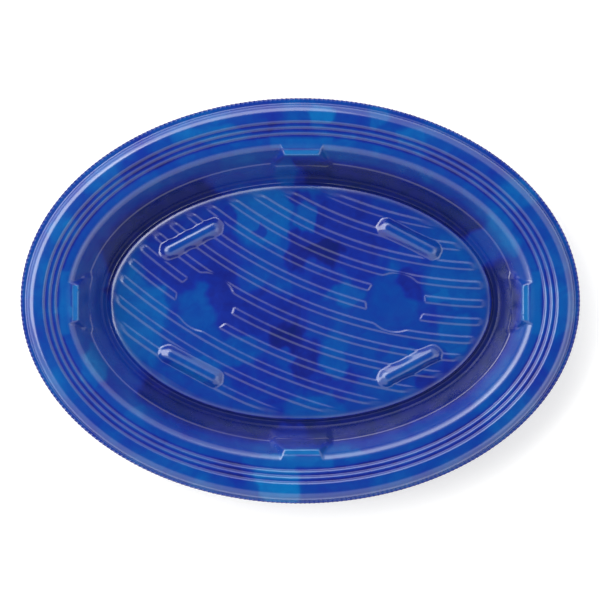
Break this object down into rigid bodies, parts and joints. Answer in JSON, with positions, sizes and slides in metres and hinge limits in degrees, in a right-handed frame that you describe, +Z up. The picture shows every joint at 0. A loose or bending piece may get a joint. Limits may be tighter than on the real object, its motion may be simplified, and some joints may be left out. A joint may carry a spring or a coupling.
{
  "type": "oval dish",
  "caption": "Oval thermoformed dish with a rolled serrated flange, a stepped lid seat, inner lugs and a raised floor with oblong bumps; core sheet and decorated film.",
  "frame": {"origin": "centre of the foot ring, on the surface the dish stands on", "axes": "+X along the long axis, +Y along the short axis, +Z up out of the dish"},
  "size_m": [0.27, 0.1958, 0.027],
  "materials": {
    "core_sheet": "satin, coloured in the mass",
    "decor_film": "high gloss over a marbled blue print"
  },
  "bodies": {
    "root": {"core_sheet": "core_sheet", "decor_film": "decor_film"}
  },
  "joints": []
}
